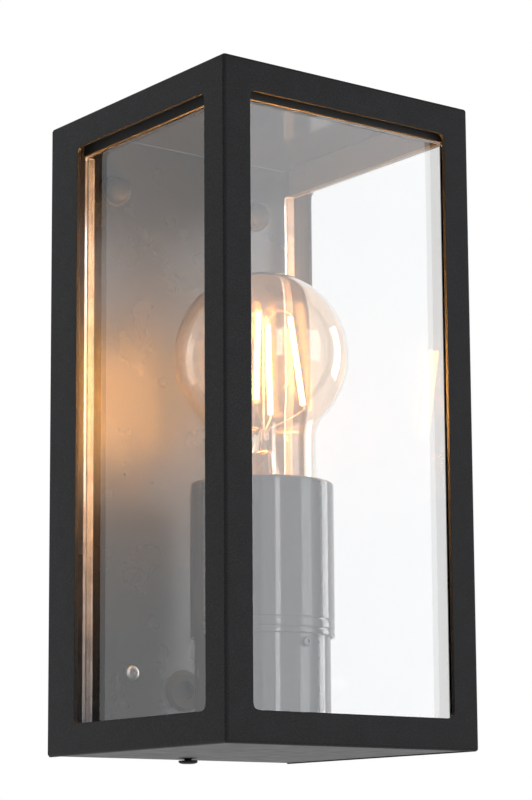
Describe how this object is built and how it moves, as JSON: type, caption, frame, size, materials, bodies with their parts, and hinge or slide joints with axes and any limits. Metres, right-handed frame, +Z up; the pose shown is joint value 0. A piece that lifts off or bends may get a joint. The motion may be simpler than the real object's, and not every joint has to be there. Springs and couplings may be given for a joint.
{
  "type": "outdoor wall lantern",
  "caption": "Black sheet-metal box lantern for a wall, with clear glazing on three sides and an upright filament lamp on a tubular holder.",
  "frame": {"origin": "middle of the wall bracket's back face, on the wall", "axes": "+Y into the wall, -Y out of the front window, +Z up, +X to the right seen from the front"},
  "size_m": [0.108, 0.108, 0.2315],
  "materials": {
    "cage_paint": "fine-textured black powder coat",
    "plate_paint": "satin black paint",
    "sleeve_paint": "semi-gloss black enamel",
    "clear_shade": "clear, polished",
    "black_rubber": "matt",
    "zinc_steel": "zinc plated",
    "porcelain": "glazed porcelain",
    "brass": "bright",
    "terminal_plastic": "matt",
    "live_wire": "brown insulation",
    "neutral_wire": "blue insulation",
    "lamp_glass": "clear, slightly warm",
    "filament": "phosphor-coated, glowing warm",
    "lamp_metal": "nickel plated",
    "lamp_insulator": "black vitrite"
  },
  "bodies": {
    "chassis": {"cap_nut_left": "cage_paint", "cap_nut_right": "cage_paint", "back_plate": "plate_paint", "floor_plate": "plate_paint", "corner_bracket_left": "plate_paint", "corner_bracket_right": "plate_paint", "base_tube": "sleeve_paint", "holder_sleeve": "sleeve_paint", "sleeve_screw": "sleeve_paint", "cable_grommet": "black_rubber", "wall_bracket": "zinc_steel", "bracket_stud_left": "zinc_steel", "bracket_stud_right": "zinc_steel", "plate_spacer_left": "zinc_steel", "plate_spacer_right": "zinc_steel", "plate_screw_left": "zinc_steel", "plate_screw_right": "zinc_steel", "foot_screw_left": "zinc_steel", "foot_screw_right": "zinc_steel", "tube_screw_left": "zinc_steel", "tube_screw_right": "zinc_steel", "holder_plate": "zinc_steel", "holder_nipple": "zinc_steel", "nipple_nut": "zinc_steel", "holder_body": "porcelain", "holder_thread": "brass", "holder_contact": "brass", "terminal_screw_live": "brass", "terminal_screw_neutral": "brass", "terminal_block": "terminal_plastic", "live_lead": "live_wire", "neutral_lead": "neutral_wire"},
    "cage": {"front_frame": "cage_paint", "side_frame_left": "cage_paint", "side_frame_right": "cage_paint", "roof_panel": "cage_paint", "base_panel": "cage_paint", "clear_shade": "clear_shade", "shade_seal": "black_rubber"},
    "lock_screw": {"lock_screw": "cage_paint"},
    "lamp": {"lamp_glass": "lamp_glass", "lamp_stem": "lamp_glass", "filament_front": "filament", "filament_right": "filament", "filament_left": "filament", "filament_rear": "filament", "filament_ring_upper": "lamp_metal", "filament_ring_lower": "lamp_metal", "lamp_cap": "lamp_metal", "lamp_insulator": "lamp_insulator", "lamp_contact": "lamp_metal"}
  },
  "joints": [
    {"name": "cage_slide", "type": "slide", "parent": "chassis", "child": "cage", "axis": [0, -1, 0], "range_m": [0, 0.112]},
    {"name": "lock_screw_turn", "type": "hinge", "parent": "cage", "child": "lock_screw", "pos_m": [0, -0.01, -0.115], "axis": [0, 0, -1], "range_deg": [0, 1080]},
    {"name": "lamp_turn", "type": "hinge", "parent": "chassis", "child": "lamp", "pos_m": [0, -0.056, -0.033], "axis": [0, 0, 1], "range_deg": [0, 1080]}
  ]
}
